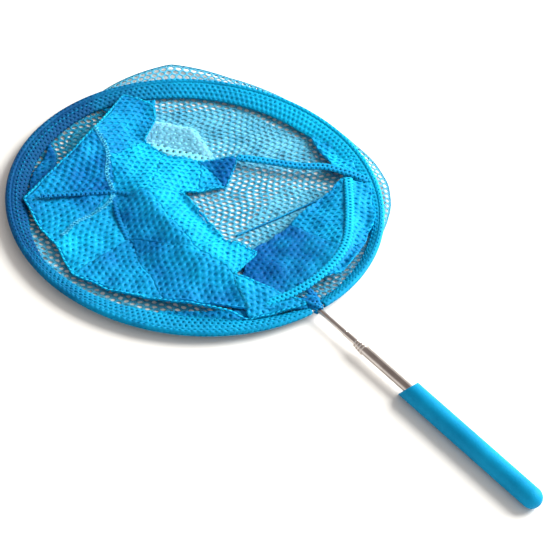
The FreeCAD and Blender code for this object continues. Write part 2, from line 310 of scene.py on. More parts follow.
class HeightMap:
    """One value of the tiles' corners, smoothed on a 1 mm grid over the hoop: 2 height, 3 painted shade."""

    def __init__(self, tiles, corners, blur, column=2, reach=120):
        self.reach = reach
        self.column = column
        axis = np.arange(-reach, reach + 1, dtype=float)
        self.x, self.y = np.meshgrid(axis, axis, indexing="ij")
        z = np.full(self.x.shape, np.nan)
        for names in (tile[-1] for tile in tiles.values()):
            outline = np.array([corners[name] for name in names], float)
            inside, value = self.tile_values(outline)
            z[inside] = value
        self.z = self.smooth(self.fill(z), blur)

    def tile_values(self, outline):
        """Mean value interpolation from the corners, for the grid points inside."""
        px, py = self.x.ravel(), self.y.ravel()
        xy = outline[:, :2]
        area = 0.5 * np.sum(xy[:, 0] * np.roll(xy[:, 1], -1) - np.roll(xy[:, 0], -1) * xy[:, 1])
        inside = np.ones(px.shape, bool)
        for a, b in zip(xy, np.roll(xy, -1, axis=0)):
            cross = (b[0] - a[0]) * (py - a[1]) - (b[1] - a[1]) * (px - a[0])
            inside &= cross * np.sign(area) >= -0.7 * np.hypot(*(b - a))
        qx, qy = px[inside], py[inside]
        d = xy[:, None, :] - np.stack([qx, qy], 1)[None]
        r = np.hypot(d[..., 0], d[..., 1]) + 1e-6
        nxt = np.roll(d, -1, axis=0)
        rn = np.roll(r, -1, axis=0)
        cos = (d * nxt).sum(-1) / (r * rn)
        sin = (d[..., 0] * nxt[..., 1] - d[..., 1] * nxt[..., 0]) / (r * rn) * np.sign(area)
        half = (1 - cos) / np.where(np.abs(sin) < 1e-6, 1e-6, sin)
        half = np.clip(half, 0, 50)
        weight = (half + np.roll(half, 1, axis=0)) / r
        value = (weight * outline[:, self.column:self.column + 1]).sum(0) / weight.sum(0)
        mask = inside.reshape(self.x.shape)
        return mask, value

    @staticmethod
    def fill(z):
        """Grows the heights outwards over the empty grid points."""
        z = z.copy()
        while np.isnan(z).any():
            stack = [np.roll(z, shift, axis) for shift in (1, -1) for axis in (0, 1)]
            known = ~np.isnan(np.array(stack))
            total = np.nansum(np.where(known, stack, 0), axis=0)
            count = known.sum(0)
            grow = np.isnan(z) & (count > 0)
            z[grow] = total[grow] / count[grow]
        return z

    @staticmethod
    def smooth(z, sigma):
        reach = math.ceil(3 * sigma)
        span = np.arange(-reach, reach + 1)
        kernel = np.exp(-span ** 2 / (2 * sigma ** 2))
        kernel /= kernel.sum()
        for axis in (0, 1):
            z = sum(weight * np.roll(z, shift, axis) for weight, shift in zip(kernel, span))
        return z

    def relief(self, sigma=5.0):
        """How far each place stands above what is round it."""
        other = HeightMap.__new__(HeightMap)
        other.reach = self.reach
        other.z = self.z - self.smooth(self.z, sigma)
        return other

    def at(self, points):
        i = np.clip(points[:, 0] + self.reach, 0, 2 * self.reach - 1.001)
        j = np.clip(points[:, 1] + self.reach, 0, 2 * self.reach - 1.001)
        i0, j0 = i.astype(int), j.astype(int)
        fi, fj = i - i0, j - j0
        z = self.z
        return ((1 - fi) * (1 - fj) * z[i0, j0] + fi * (1 - fj) * z[i0 + 1, j0]
                + (1 - fi) * fj * z[i0, j0 + 1] + fi * fj * z[i0 + 1, j0 + 1])


# Slow and quick waves of the threads and wrinkles: two wave numbers per millimetre, and a phase
WAVES = ((0.13, 0.05, 0.4), (-0.07, 0.15, 2.1), (0.21, -0.11, 4.0), (0.05, 0.27, 1.2), (-0.24, -0.16, 5.1))
SHAKES = ((1.9, 0.7, 0.3), (-0.8, 2.1, 1.9), (1.3, -1.7, 3.3))


def warped(points, size=0.7):
    """Slow sideways wander of the threads, the same for every ply at one place."""
    out = points.copy()
    for kx, ky, phase in WAVES[:3]:
        wave = np.sin(kx * points[:, 0] + ky * points[:, 1] + phase)
        out[:, 0] += size * ky * 4 * wave
        out[:, 1] -= size * kx * 4 * wave
    for kx, ky, phase in SHAKES:
        wave = np.sin(kx * points[:, 0] + ky * points[:, 1] + phase)
        out[:, 0] += 0.13 * wave
        out[:, 1] += 0.11 * np.roll(wave, 1)
    return out


def wrinkles(points, size=0.45):
    total = np.zeros(len(points))
    for kx, ky, phase in WAVES:
        total += np.sin(kx * 1.7 * points[:, 0] + ky * 1.7 * points[:, 1] + phase)
    return size * total / 2


# ---- pieces ------------------------------------------------------------------------------------

def mesh_object(name, ply, material, thickness=PLY_THICKNESS):
    """ply is points in millimetres about the hoop's centre, faces, and a tone for each point, mostly painted
    shade.
    """
    points, faces, tone = ply
    mesh = bpy.data.meshes.new(name)
    mesh.from_pydata(to_metres(points).tolist(), [], [list(map(int, f)) for f in faces])
    # Per-point tone: mostly painted shade and painted highlight of the folds, with some random and thread
    # colour
    shades = mesh.attributes.new("tone", "FLOAT", "POINT")
    shades.data.foreach_set("value", np.broadcast_to(tone, len(points)).astype(np.float32))
    mesh.materials.append(material)
    piece = bpy.data.objects.new(name, mesh)
    bpy.context.collection.objects.link(piece)
    mesh.shade_smooth()
    if thickness:
        solid = piece.modifiers.new("ply", "SOLIDIFY")
        solid.thickness = thickness * MM
        solid.offset = 0
        solid.use_rim = True
    return piece


def tile_ply(corners, tile, tone, height, turn=0, inner_thread=None):
    """Points and faces of one flat stretch, clipped to its outline and lifted to its height."""
    weave, bow, shade, thread, names = tile
    weave += turn
    thread = inner_thread or thread
    outline = np.array([corners[name][:2] for name in names], float)
    middle = outline.mean(0)
    local = rotated(outline - middle, -weave)
    pitch = np.array([HOLE_PITCH, 2 * COLUMN_PITCH])
    sag = np.array([0, abs(bow) * np.abs(local[:, 0]).max() ** 2])
    low = (np.floor((local.min(0) - sag) / pitch) - 1) * pitch
    size = (np.ceil((local.max(0) + sag) / pitch) + 1) * pitch - low
    points, quads = lattice(*size, thread=thread)
    points = points + low
    points[:, 1] += bow * points[:, 0] ** 2
    points = rotated(points, weave) + middle
    flat, faces = clip_convex(points, quads, outline)
    flat = warped(flat)
    # Each tile's painted shade is added on top of its corners' painted shade
    return np.column_stack([flat, height(flat)]), faces, tone(flat) + shade


def joined(plies):
    """One ply from several."""
    points, faces, tones, count = [], [], [], 0
    for ply_points, ply_faces, tone in plies:
        points.append(ply_points)
        faces.extend([[k + count for k in face] for face in ply_faces])
        tones.append(np.broadcast_to(tone, len(ply_points)))
        count += len(ply_points)
    return np.concatenate(points), faces, np.concatenate(tones)


def smooth_path(points, step=1.0):
    """Catmull-Rom curve through the points, sampled about every step."""
    points = np.array(points, float)
    padded = np.vstack([2 * points[0] - points[1], points, 2 * points[-1] - points[-2]])
    out = []
    for k in range(1, len(padded) - 2):
        p0, p1, p2, p3 = padded[k - 1:k + 3]
        count = max(2, int(np.linalg.norm(p2[:2] - p1[:2]) / step))
        t = np.linspace(0, 1, count, endpoint=False)[:, None]
        out.append(p1 + 0.5 * t * (p2 - p0 + t * (2 * p0 - 5 * p1 + 4 * p2 - p3
                   + t * (3 * (p1 - p2) + p3 - p0))))
    out.append(padded[-2][None])
    return np.concatenate(out)


def crisp_path(points, step=1.0):
    """Straight runs through the points, their corners rounded over a few millimetres."""
    points = np.array(points, float)
    runs = [a + (b - a) * np.arange(0, 1, step / np.linalg.norm(b - a))[:, None]
            for a, b in zip(points, points[1:])]
    path = np.concatenate(runs + [points[-1:]])
    for _ in range(3):
        path[1:-1] = (path[:-2] + 2 * path[1:-1] + path[2:]) / 4
    return np.column_stack([path, np.zeros(len(path))])


def swept_ply(path, girth, section, tone, pitch_scale=1.0, thread=THREAD):
    """A strip of lattice that follows a path. section(fraction, height) gives sideways and z."""
    steps = np.hypot(*np.diff(path[:, :2], axis=0).T)
    along = np.concatenate([[0], np.cumsum(steps)])
    tangent = np.gradient(path[:, :2], axis=0)
    tangent /= np.linalg.norm(tangent, axis=1)[:, None] + 1e-9
    side = np.column_stack([tangent[:, 1], -tangent[:, 0]])
    points, quads = lattice(
        along[-1], girth, HOLE_PITCH * pitch_scale, COLUMN_PITCH * pitch_scale, thread)
    s = np.clip(points[:, 0], 0, along[-1])
    at = [np.interp(s, along, path[:, k]) for k in range(3)]
    nx, ny = (np.interp(s, along, side[:, k]) for k in range(2))
    offset, z = section(np.clip(points[:, 1] / girth, 0, 1), at[2])
    return np.column_stack([at[0] + nx * offset, at[1] + ny * offset, z]), quads, tone


def fold_edge(fraction, height):
    """Section of a fold: along the top, round the edge and back under."""
    across = np.interp(fraction, (0, 0.35, 0.6, 1), (-0.9, 0.2, 0.4, -0.5))
    drop = np.interp(fraction, (0, 0.35, 0.6, 1), (-0.1, 0.0, 0.6, 1.4))
    return across, height - drop


def doubled(width, lift=0.5):
    """Section of a flat band whose edges turn down."""
    def section(fraction, height):
        crown = np.sin(math.pi * np.clip(fraction, 0, 1)) ** 0.4
        return width * (fraction - 0.5), height + lift * crown - lift
    return section


def ring_path(radius, z, start=0.0, end=360.0):
    angles = np.radians(np.linspace(start, end, max(8, int((end - start) / 1.5))))
    return np.column_stack([radius * np.cos(angles), radius * np.sin(angles), np.full(len(angles), z)])


# ---- materials ---------------------------------------------------------------------------------

def new_material(name, color, roughness, metallic=0.0, **sockets):
    material = bpy.data.materials.new(name)
    material.use_nodes = True
    shader = material.node_tree.nodes["Principled BSDF"]
    shader.inputs["Base Color"].default_value = (*color, 1)
    shader.inputs["Roughness"].default_value = roughness
    shader.inputs["Metallic"].default_value = metallic
    for key, value in sockets.items():
        shader.inputs[key.replace("_", " ")].default_value = value
    return material, material.node_tree, shader


def add_node(tree, kind, **values):
    node = tree.nodes.new(kind)
    for key, value in values.items():
        if key in node.inputs:
            node.inputs[key].default_value = value
        else:
            setattr(node, key, value)
    return node


def color_noise(tree, shader, dark, light, scale, detail=4.0):
    """Base colour that wanders between two shades, in object space."""
    coords = add_node(tree, "ShaderNodeTexCoord")
    noise = add_node(tree, "ShaderNodeTexNoise", Scale=scale, Detail=detail, Roughness=0.55)
    ramp = add_node(tree, "ShaderNodeValToRGB")
    ramp.color_ramp.elements[0].position = 0.35
    ramp.color_ramp.elements[0].color = (*dark, 1)
    ramp.color_ramp.elements[1].position = 0.65
    ramp.color_ramp.elements[1].color = (*light, 1)
    tree.links.new(coords.outputs["Object"], noise.inputs["Vector"])
    tree.links.new(noise.outputs["Fac"], ramp.inputs["Fac"])
    tree.links.new(ramp.outputs["Color"], shader.inputs["Base Color"])
    return coords


def bump_from(tree, shader, height, strength, distance):
    bump = add_node(tree, "ShaderNodeBump", Strength=strength, Distance=distance)
    tree.links.new(height, bump.inputs["Height"])
    tree.links.new(bump.outputs["Normal"], shader.inputs["Normal"])


def knit_material(name, deep, bright, roughness=0.5, glow=0.5):
    """Polyester strands that let light through: fine filaments over a painted shade that follows the folds.
    """
    material, tree, shader = new_material(
        name, bright, roughness, Subsurface_Weight=glow, Subsurface_Scale=0.0012,
        Specular_IOR_Level=0.06)
    shader.inputs["Subsurface Radius"].default_value = (0.3, 0.8, 1.0)
    coords = add_node(tree, "ShaderNodeTexCoord")
    noise = add_node(tree, "ShaderNodeTexNoise", Scale=45.0, Detail=5.0, Roughness=0.6)
    # The per-point tone, mostly painted shade, moves the colour between deep and bright
    tone = add_node(tree, "ShaderNodeAttribute", attribute_name="tone")
    drift = add_node(tree, "ShaderNodeMath", operation="MULTIPLY_ADD")
    drift.inputs[1].default_value = 0.8
    drift.inputs[2].default_value = -0.4
    total = add_node(tree, "ShaderNodeMath", operation="ADD", use_clamp=True)
    ramp = add_node(tree, "ShaderNodeValToRGB")
    ramp.color_ramp.elements[0].color = (*deep, 1)
    ramp.color_ramp.elements[1].color = (*bright, 1)
    tree.links.new(coords.outputs["Object"], noise.inputs["Vector"])
    tree.links.new(noise.outputs["Fac"], drift.inputs[0])
    tree.links.new(drift.outputs[0], total.inputs[0])
    tree.links.new(tone.outputs["Fac"], total.inputs[1])
    tree.links.new(total.outputs[0], ramp.inputs["Fac"])
    tree.links.new(ramp.outputs["Color"], shader.inputs["Base Color"])
    fibres = add_node(tree, "ShaderNodeTexWave", Scale=900.0, Distortion=6.0, Detail=2.0)
    fibres.inputs["Detail Scale"].default_value = 2.0
    tree.links.new(coords.outputs["Object"], fibres.inputs["Vector"])
    bump_from(tree, shader, fibres.outputs["Fac"], 0.35, 0.0002)
    return material


def steel_material():
    material, tree, shader = new_material(
        "steel_tube", (0.54, 0.49, 0.465), 0.2, 1.0, Anisotropic=0.4)
    coords = color_noise(tree, shader, (0.46, 0.415, 0.39), (0.62, 0.57, 0.54), scale=60.0)
    stretch = add_node(tree, "ShaderNodeMapping")
    stretch.inputs["Scale"].default_value = (6.0, 900.0, 900.0)
    scratch = add_node(tree, "ShaderNodeTexNoise", Scale=1.0, Detail=3.0)
    tree.links.new(coords.outputs["Object"], stretch.inputs["Vector"])
    tree.links.new(stretch.outputs["Vector"], scratch.inputs["Vector"])
    bump_from(tree, shader, scratch.outputs["Fac"], 0.12, 0.0001)
    return material


def wire_material():
    material, tree, shader = new_material("spring_wire", (0.5, 0.5, 0.49), 0.28, 1.0)
    coords = color_noise(tree, shader, (0.40, 0.40, 0.39), (0.58, 0.58, 0.57), scale=120.0)
    draw = add_node(tree, "ShaderNodeTexNoise", Scale=700.0, Detail=2.0)
    tree.links.new(coords.outputs["Object"], draw.inputs["Vector"])
    bump_from(tree, shader, draw.outputs["Fac"], 0.1, 0.0001)
    return material


def brass_material():
    material, tree, shader = new_material("brass_leaf", (0.72, 0.52, 0.22), 0.3, 1.0)
    coords = color_noise(tree, shader, (0.55, 0.38, 0.14), (0.80, 0.60, 0.28), scale=200.0)
    grain = add_node(tree, "ShaderNodeTexNoise", Scale=900.0, Detail=2.0)
    tree.links.new(coords.outputs["Object"], grain.inputs["Vector"])
    bump_from(tree, shader, grain.outputs["Fac"], 0.1, 0.0001)
    return material


def foam_material():
    """Fine closed-cell foam of the grip."""
    material, tree, shader = new_material(
        "grip_foam", (0.0, 0.25, 0.50), 0.6, Specular_IOR_Level=0.08)
    coords = color_noise(tree, shader, (0.0, 0.22, 0.44), (0.002, 0.28, 0.53), scale=55.0, detail=8.0)
    cells = add_node(tree, "ShaderNodeTexVoronoi", Scale=1400.0)
    tree.links.new(coords.outputs["Object"], cells.inputs["Vector"])
    bump_from(tree, shader, cells.outputs["Distance"], 0.35, 0.0002)
    return material


def plug_material():
    material, tree, shader = new_material("plug_plastic", (0.03, 0.03, 0.035), 0.45)
    coords = color_noise(tree, shader, (0.02, 0.02, 0.024), (0.05, 0.05, 0.055), scale=300.0)
    grain = add_node(tree, "ShaderNodeTexNoise", Scale=1500.0)
    tree.links.new(coords.outputs["Object"], grain.inputs["Vector"])
    bump_from(tree, shader, grain.outputs["Fac"], 0.2, 0.0001)
    return material


def paint_nodes():
    """Gives every CAD node that stays visible its finish."""
    steel, wire, brass, foam, plug = (
        steel_material(), wire_material(), brass_material(), foam_material(), plug_material())
    for name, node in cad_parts.items():
        if name.startswith("tube_"):
            material = steel
        elif name.startswith("spring_"):
            material = brass
        else:
            material = {"hoop_wire": wire, "grip": foam, "end_plug": plug}.get(name)
        if material is None:
            continue
        for slot in node.material_slots:
            slot.material = material


# ---- the net -------------------------------------------------------------------------------------

BASE_R = 99.0
LOBE = ((186, 100), (175, 105), (166, 111), (158, 116), (148, 122), (140, 118), (131, 113), (120, 110),
        (110, 107.5), (98, 106.5), (84, 107.5), (74, 110), (64, 111), (55, 109), (43, 104), (34, 100))
LOBE_SPAN = (36, 182)     # degrees round the hoop
LOBE_INNER_R = 97.0
LOBE_THREAD = 1.25
LOBE_SCALE = 1.05         # of the lattice, against the mesh of the folds
LOBE_EDGE = (2.6, 1.6, 0.6)           # girth, thread and scale of the fold along its outer edge
FOLD_EDGE = (3.2, 2.0, 0.8)           # the same of the strip along each fold's edge
BAND_SCALE = 0.7
BAND_THREADS = (1.5, 2.0)             # top and bottom of a flat band
BAND_SPREAD = 1.1                     # the top's girth over the band's width
NECK_GATHER = (93.0, 104.8, 26.0)     # start, end and girth
NECK_THREAD = 1.5
NECK_CELLS = (2.6, 2.4)               # hole pitch and column pitch, drawn together
HEM_BAND_OUTER = 101.5
HEM_END = 2.5             # the hem stops this many degrees short of the neck, on both sides
HEM_SCALE = 0.85
# Plies of the sleeve round the wire: turn in degrees, gap below the CAD sleeve, and thread
HEM_SLEEVES = ((0, 0.15, (2.0, 2.2)), (40, 0.5, 2.9))
# Plies of the band below it: drop, turn in degrees, and thread
HEM_BANDS = ((0.0, 0.0, 1.9), (0.4, 1.1, 2.5), (0.8, 0.4, 2.9))
# How the hem's band lies round the hoop
# Round the hoop: angle, width of the band below the sleeve, and painted shade
HEM_BAND = ((0, 4, 0.45), (40, 4, 0.6), (62, 9, 0.8), (100, 12, 0.9), (150, 10, 0.5), (180, 7, 0.1),
            (200, 8, 0.0), (240, 9, 0.0), (262, 6, 0.1), (285, 9, 0.4), (305, 13, 0.5), (325, 13, 0.5),
            (340, 9, 0.5), (360, 4, 0.45))


def hem_shade(points):
    """Painted shade round the hoop: the hem is painted darkest where most plies lie under it."""
    degrees = np.degrees(np.arctan2(points[:, 1], points[:, 0])) % 360
    return np.interp(degrees, [row[0] for row in HEM_BAND], [row[2] for row in HEM_BAND])


def lobe_radius(degrees):
    """Radius of the lying bag's outline: it bulges beyond the hoop on the far side."""
    angles = np.array([a for a, _ in LOBE][::-1], float)
    radii = np.array([r for _, r in LOBE][::-1], float)
    return np.interp(np.asarray(degrees) % 360, angles, radii, left=99, right=99)


def make_base(haze):
    """The single ply that lies on the surface across the whole hoop."""
    reach = BASE_R + 8
    points, quads = lattice(2 * reach, 2 * reach)
    points = warped(rotated(points - reach, 140), 1.2)
    centres = points[quads].mean(1)
    quads = quads[np.hypot(centres[:, 0], centres[:, 1]) < BASE_R]
    used, inverse = np.unique(quads, return_inverse=True)
    points, quads = points[used], inverse.reshape(quads.shape)
    radius = np.hypot(points[:, 0], points[:, 1])
    rise = np.clip((radius - 90) / 10, 0, 1) ** 1.5 * 3.0
    z = FLOOR_Z + rise + np.clip(wrinkles(points, 0.3), 0, 1)
    # The floor ply takes the loose plies' painted shade: paler under the far window, darker on the left
    return np.column_stack([points, z]), quads, haze.tone(points)


def ring_ply(inner, outer, z_inner, z_outer, span, tone, pitch_scale=1.0, thread=THREAD, crown=0.0):
    """A ring of lattice between two radii, which may change round the hoop."""
    start, end = span
    middle = np.mean(span)
    length = math.radians(end - start) * 0.5 * (inner(middle) + outer(middle))
    girth = max(outer(a) - inner(a) for a in np.linspace(start, end, 60))
    points, quads = lattice(
        length, girth, HOLE_PITCH * pitch_scale, COLUMN_PITCH * pitch_scale, thread)
    degrees = start + (end - start) * np.clip(points[:, 0] / length, 0, 1)
    fraction = np.clip(points[:, 1] / girth, 0, 1)
    radius = inner(degrees) + (outer(degrees) - inner(degrees)) * fraction
    z = z_inner + (z_outer - z_inner) * fraction + crown * np.sin(math.pi * fraction)
    angle = np.radians(degrees)
    points = np.column_stack([radius * np.cos(angle), radius * np.sin(angle), z])
    return points, quads, tone


def make_lobe():
    """Slack beyond the hoop: two plies that meet in a fold along the outer edge."""
    def inner(degrees):
        return np.full_like(np.asarray(degrees, float), LOBE_INNER_R)
    angles = np.arange(*LOBE_SPAN, 1.5)
    radius = lobe_radius(angles)
    edge = np.column_stack([
        radius * np.cos(np.radians(angles)), radius * np.sin(np.radians(angles)),
        np.full(len(angles), 2.9)])
    girth, thread, scale = LOBE_EDGE
    return joined([
        ring_ply(inner, lobe_radius, 3.2, 2.8, LOBE_SPAN, 0.55, LOBE_SCALE, LOBE_THREAD, crown=1.0),
        swept_ply(edge, girth, fold_edge, 0.0, scale, thread),
    ])


class Pile:
    """One group of folds: its heights and painted shades, its top plies and the plies that back them."""

    def __init__(self, tiles, corners, blur=1.5):
        self.tiles, self.corners = tiles, corners
        self.heights = HeightMap(tiles, corners, blur)
        self.shades = HeightMap(tiles, corners, 3.0, column=3)
        self.relief = self.heights.relief()

    def top(self, points):
        return np.maximum(self.heights.at(points) + wrinkles(points), TOP_Z_MIN)

    def tone(self, points):
        # Painted shade: corner shades, ridges painted lighter and hollows darker by the relief, and a random
        # waver
        return self.shades.at(points) + 0.08 * self.relief.at(points) + 0.25 * wrinkles(points[:, ::-1], 0.3)

    def plies(self):
        """The top ply, and the two below it that show through its holes."""
        layers = []
        # The lower plies are painted lighter, against the shade they lie in under the top ply
        below = ((0, 0, None, 0), (1, 24, SECOND_THREAD, 0.1), (2, -14, BACKING_THREAD, 0.45))
        for depth, turn, thread, painted_lighter in below:
            def height(points, depth=depth):
                return np.maximum(self.top(points) - depth * PLY_DROP, UNDER_Z - 0.3 * depth)

            def tone(points, painted_lighter=painted_lighter):
                return self.tone(points) + painted_lighter
            layers.append(joined([tile_ply(self.corners, tile, tone, height, turn, thread)
                                  for tile in self.tiles.values()]))
        return layers[0], joined(layers[1:])


def make_edges(pile):
    """Strips that round off the folds' edges, the flat bands, and the gather at the neck."""
    strips = []
    girth, thread, scale = FOLD_EDGE
    top_thread, bottom_thread = BAND_THREADS
    for names in PILE_EDGES:
        path = crisp_path([PILE[name][:2] for name in names])
        path[:, 2] = pile.top(path[:, :2]) + 0.15
        points, faces, _ = swept_ply(path, girth, fold_edge, 0, scale, thread)
        # Fold edges are painted lighter, a painted highlight along each edge
        strips.append((points, faces, pile.tone(points) + 0.25))
    for width, tone, points in BANDS.values():
        path = smooth_path(points)
        strips.append(swept_ply(
            path, width * BAND_SPREAD, doubled(width), tone, BAND_SCALE, top_thread))
        # The band's lower ply is painted darker, as shade under the top one
        path[:, 2] -= 0.6
        strips.append(swept_ply(
            path, width, doubled(width * 0.9), tone - 0.3, BAND_SCALE, bottom_thread))
    strips.append(make_neck_gather())
    return joined(strips)


def make_hem(material):
    """Mesh folded over the wire, and the doubled band below it."""
    plies = []
    ring = ring_path(HOOP_R, WIRE_Z, HEM_END, 360 - HEM_END)
    for turn, gap, thread in HEM_SLEEVES:
        def section(fraction, height, turn=turn, radius=SLEEVE_R - gap):
            angle = np.radians(turn + 360 * fraction)
            return radius * np.cos(angle), height + radius * np.sin(angle)
        plies.append(swept_ply(ring, 2 * math.pi * SLEEVE_R, section, 0, HEM_SCALE, thread))

    def inner(degrees):
        return HEM_BAND_OUTER - np.interp(
            degrees, [row[0] for row in HEM_BAND], [row[1] for row in HEM_BAND])

    def outer(degrees):
        return np.full_like(np.asarray(degrees, float), HEM_BAND_OUTER)
    for drop, turn, thread in HEM_BANDS:
        span = (HEM_END + turn, 360 - HEM_END)
        plies.append(ring_ply(
            inner, outer, 3.4 - drop, 6.4 - drop, span, 0, HEM_SCALE, thread, crown=0.6))
    # The hem's plies take the painted shade round the hoop
    plies = [(points, faces, hem_shade(points)) for points, faces, _ in plies]
    return mesh_object("hem_mesh", joined(plies), material)


def thread_ply(lines, radius, tone, sides=5):
    """Round threads along lines of points."""
    plies = []
    turn = 2 * math.pi * np.arange(sides) / sides
    for line in lines:
        line = np.array(line, float)
        tangent = np.gradient(line, axis=0)
        tangent /= np.linalg.norm(tangent, axis=1)[:, None]
        side = np.cross(tangent, (0, 0, 1))
        side /= np.linalg.norm(side, axis=1)[:, None] + 1e-9
        up = np.cross(side, tangent)
        ring = (np.cos(turn)[None, :, None] * side[:, None] + np.sin(turn)[None, :, None] * up[:, None])
        points = (line[:, None] + radius * ring).reshape(-1, 3)
        faces = []
        for k in range(len(line) - 1):
            for j in range(sides):
                n = (j + 1) % sides
                faces.append([k * sides + j, k * sides + n, (k + 1) * sides + n, (k + 1) * sides + j])
        last = (len(line) - 1) * sides
        faces.append(list(range(sides))[::-1])
        faces.append([last + j for j in range(sides)])
        plies.append((points, faces, tone))
    return joined(plies)


def make_neck_gather():
    """Crumpled mesh drawn together round the wire's ends, in front of the first tube."""
    start, end, girth = NECK_GATHER
    points, quads = lattice(end - start, girth, *NECK_CELLS, NECK_THREAD)
    along = np.clip(points[:, 0] / (end - start), 0, 1)
    turn = 2 * math.pi * np.clip(points[:, 1] / girth, 0, 1)
    crumple = 1 + 0.16 * np.sin(5 * turn + 7 * along) + 0.10 * np.sin(9 * turn - 9 * along)
    wide = np.interp(along, (0, 0.5, 1), (6.5, 4.6, 2.1)) * crumple
    high = np.interp(along, (0, 0.5, 1), (1.6, 2.5, 1.9)) * crumple
    points = np.column_stack([
        start + (end - start) * along, wide * np.cos(turn), WIRE_Z + high * np.sin(turn)])
    # Painted shade of the crumples: bulges lighter, dips darker
    return points, quads, 0.1 + 0.5 * (crumple - 0.8)


def make_seam(pile, material):
    """Overlocked seam of the bag: a zigzag thread between two straight ones, over a raised edge."""
    path = smooth_path([(x, y, 0) for x, y in SEAM], step=1.1)
    path[:, 2] = pile.top(path[:, :2]) + 0.6
    tangent = np.gradient(path[:, :2], axis=0)
    tangent /= np.linalg.norm(tangent, axis=1)[:, None]
    side = np.column_stack([-tangent[:, 1], tangent[:, 0], np.zeros(len(path))])
    step = np.arange(len(path))
    swing = np.where(step % 2, 1.1, -0.9) * (1 + 0.5 * np.sin(1.7 * step))
    zigzag = path + side * swing[:, None]
    zigzag[:, 2] += 0.3 * np.sin(step * 0.7)
    edges = [path + side * 0.9, path - side * 0.8]
    threads = joined([thread_ply([zigzag], 0.24, 0.75), thread_ply(edges, 0.15, 0.2)])
    return mesh_object("seam_thread", threads, material, thickness=0)


def make_hem_stitches(material):
    """Straight stitches round the band, just inside the hoop."""
    radius = HEM_BAND_OUTER - 3.0
    pitch = 360 / round(2 * math.pi * radius / 3.4)
    lines = []
    for start in np.arange(4, 356 - pitch, pitch):
        angles = np.radians(start + pitch * np.array([0, 0.25, 0.5, 0.75]))
        height = np.array([5.2, 6.2, 6.2, 5.2])
        lines.append(np.column_stack([radius * np.cos(angles), radius * np.sin(angles), height]))
    return mesh_object("hem_thread", thread_ply(lines, 0.25, 0.5), material, thickness=0)


# ---- the cut of each stretch of netting ---------------------------------------------------------

def thread_area(width, height, thread=THREAD, scale=1.0):
    """Area of the thread in a flat rectangle of the lattice, its holes left out."""
    pitch = width / max(1, round(width / (HOLE_PITCH * scale)))
    row = height / max(1, round(height / (COLUMN_PITCH * scale)))
    along, across = np.broadcast_to(thread, 2)
    return width * height * (1 - (1 - along / pitch) * (1 - across / (row * 1.08)))


def thread_share(thread=THREAD, scale=1.0):
    """Share of a wide sheet of the lattice that is thread and not hole."""
    wide = 1000.0
    return thread_area(wide, wide, thread, scale) / wide ** 2


def path_length(path):
    """Length in plan."""
    return float(np.hypot(*np.diff(np.asarray(path, float)[:, :2], axis=0).T).sum())


def tiles_cut(tiles, corners, threads=(None,), apart=False):
    """Flat width, length and thread area of the tiles' outlines, in plies of these threads.

    Tiles that lie apart count one after another, by their long sides and their mean width.
    """
    outlines = [np.array([corners[name][:2] for name in tile[-1]], float) for tile in tiles.values()]
    plain, area, long_sides = 0.0, 0.0, 0.0
    for tile, outline in zip(tiles.values(), outlines):
        x, y = outline.T
        own = abs(np.dot(x, np.roll(y, -1)) - np.dot(y, np.roll(x, -1))) / 2
        plain += own
        area += own * sum(thread_share(thread or tile[3]) for thread in threads)
        long_sides += max(math.dist(a, b) for a in outline for b in outline)
    if apart:
        return plain / long_sides, long_sides * len(threads), area
    width, length = np.ptp(np.concatenate(outlines), axis=0)
    return width * len(threads), length, area


def strips_cut(strips, abreast):
    """The same for narrow strips laid so many abreast: length, girth, thread and scale of each."""
    total = sum(length for length, *_ in strips)
    plain = sum(length * girth for length, girth, *_ in strips)
    return total / abreast, plain / total * abreast, sum(thread_area(*strip) for strip in strips)


def lobe_cut():
    """The lobe's outer edge by its depth, and the thread of its ring and of the fold on its edge."""
    start, end = LOBE_SPAN
    degrees = np.arange(start, end + 0.5, 0.5)
    angles = np.radians(degrees)
    radius = lobe_radius(degrees)
    edge = path_length(np.column_stack([radius * np.cos(angles), radius * np.sin(angles)]))
    ring = 0.5 * (radius ** 2 - LOBE_INNER_R ** 2).mean() * (angles[-1] - angles[0])
    area = ring * thread_share(LOBE_THREAD, LOBE_SCALE) + thread_area(edge, *LOBE_EDGE)
    return edge, radius.max() - LOBE_INNER_R + LOBE_EDGE[0], area


def edges_cut():
    """The fold edges, the two plies of each flat band, and the gather at the neck."""
    top_thread, bottom_thread = BAND_THREADS
    strips = [(path_length([PILE[name][:2] for name in names]), *FOLD_EDGE) for names in PILE_EDGES]
    for width, _, points in BANDS.values():
        length = path_length(points)
        strips.append((length, width * BAND_SPREAD, top_thread, BAND_SCALE))
        strips.append((length, width, bottom_thread, BAND_SCALE))
    start, end, girth = NECK_GATHER
    strips.append((end - start, girth, NECK_THREAD, NECK_CELLS[0] / HOLE_PITCH))
    return strips_cut(strips, 3)


def hem_cut():
    """The plies of the sleeve round the wire and of the band below it, side by side."""
    turn = math.radians(360 - 2 * HEM_END)
    width = np.interp(np.arange(360), [row[0] for row in HEM_BAND], [row[1] for row in HEM_BAND]).mean()
    strips = [(turn * HOOP_R, 2 * math.pi * SLEEVE_R, thread, HEM_SCALE) for _, _, thread in HEM_SLEEVES]
    strips += [(turn * (HEM_BAND_OUTER - width / 2), width, thread, HEM_SCALE)
               for _, _, thread in HEM_BANDS]
    return strips_cut(strips, len(strips))


